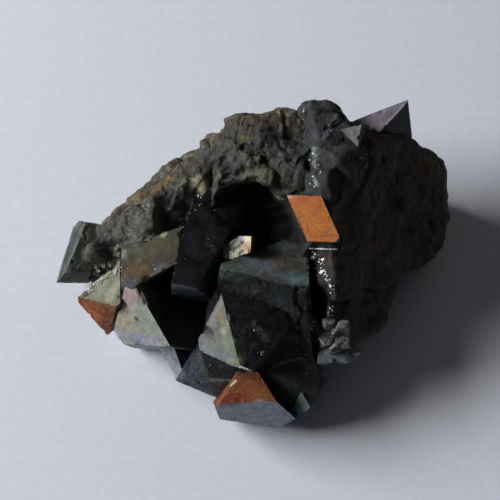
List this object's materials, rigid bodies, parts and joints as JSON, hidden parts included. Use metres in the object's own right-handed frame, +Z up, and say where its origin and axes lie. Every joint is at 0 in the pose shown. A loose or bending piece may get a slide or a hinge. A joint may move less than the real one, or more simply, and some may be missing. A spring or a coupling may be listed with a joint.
{
  "type": "magnetite specimen",
  "caption": "Mineral specimen of black octahedral magnetite crystals grown together on greenish matrix rock, with rust-coated faces, resting on a flat base.",
  "frame": {"origin": "centre of the specimen's footprint, on the surface it rests on", "axes": "+Z up from the surface, +X towards the dark massive side, -Y towards the crystal-covered front"},
  "size_m": [0.0807, 0.0657, 0.0361],
  "materials": {
    "magnetite": "submetallic black crystal faces with growth steps and a thin pale grey film on some",
    "rusty_magnetite": "matte orange-brown iron oxide coat on crystal faces",
    "matrix": "rough grey-green rock with yellow-brown weathering",
    "massive_magnetite": "rough dark brownish-grey broken surface",
    "pale_mineral": "glassy to waxy pale grains"
  },
  "bodies": {
    "root": {"main_crystal_group": "magnetite", "bottom_crystal": "magnetite", "orange_faced_crystal": "rusty_magnetite", "rusty_left_crystal": "rusty_magnetite", "left_tip_crystal": "magnetite", "upper_right_crystal": "magnetite", "crest_crystals": "magnetite", "small_yellow_crystal": "pale_mineral", "matrix_rock": "matrix", "right_mass": "massive_magnetite"}
  },
  "joints": []
}
